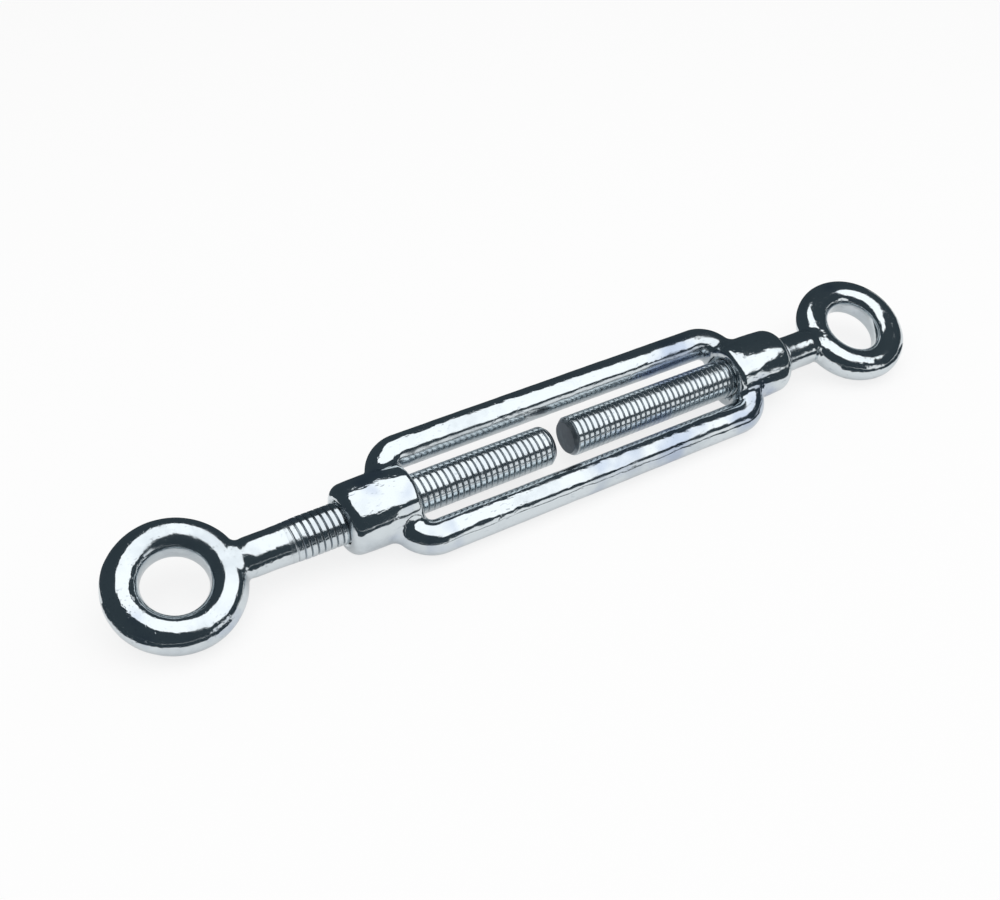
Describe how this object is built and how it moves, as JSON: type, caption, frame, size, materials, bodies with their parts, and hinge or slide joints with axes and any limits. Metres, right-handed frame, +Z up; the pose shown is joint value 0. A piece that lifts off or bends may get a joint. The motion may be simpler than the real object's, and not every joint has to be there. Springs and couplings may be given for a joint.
{
  "type": "rigging screw with two eyes",
  "caption": "Open-body rigging screw with an eye bolt at each end, for tightening a shroud or wire.",
  "frame": {"origin": "on the surface that the part lies on, below the middle of its overall length", "axes": "+X along the rods towards the eye bolt with the left-hand thread, +Z up; the flat body leans about X onto its bar at -Y, as it comes to rest"},
  "size_m": [0.2194, 0.0292, 0.0172],
  "materials": {
    "plated_body": "bright zinc plating over forged steel, mirror-like with fine pitting",
    "plated_eye_bolt": "bright zinc plating over forged steel, rolled threads"
  },
  "bodies": {
    "body": {"turnbuckle_body": "plated_body"},
    "right_hand_eye_bolt": {"right_hand_eye_bolt": "plated_eye_bolt"},
    "left_hand_eye_bolt": {"left_hand_eye_bolt": "plated_eye_bolt"}
  },
  "joints": [
    {"name": "right_hand_screw", "type": "slide", "parent": "body", "child": "right_hand_eye_bolt", "axis": [-1, 0, 0], "range_m": [-0.0022, 0.037]},
    {"name": "left_hand_screw", "type": "slide", "parent": "body", "child": "left_hand_eye_bolt", "axis": [1, 0, 0], "range_m": [-0.0022, 0.048]}
  ]
}
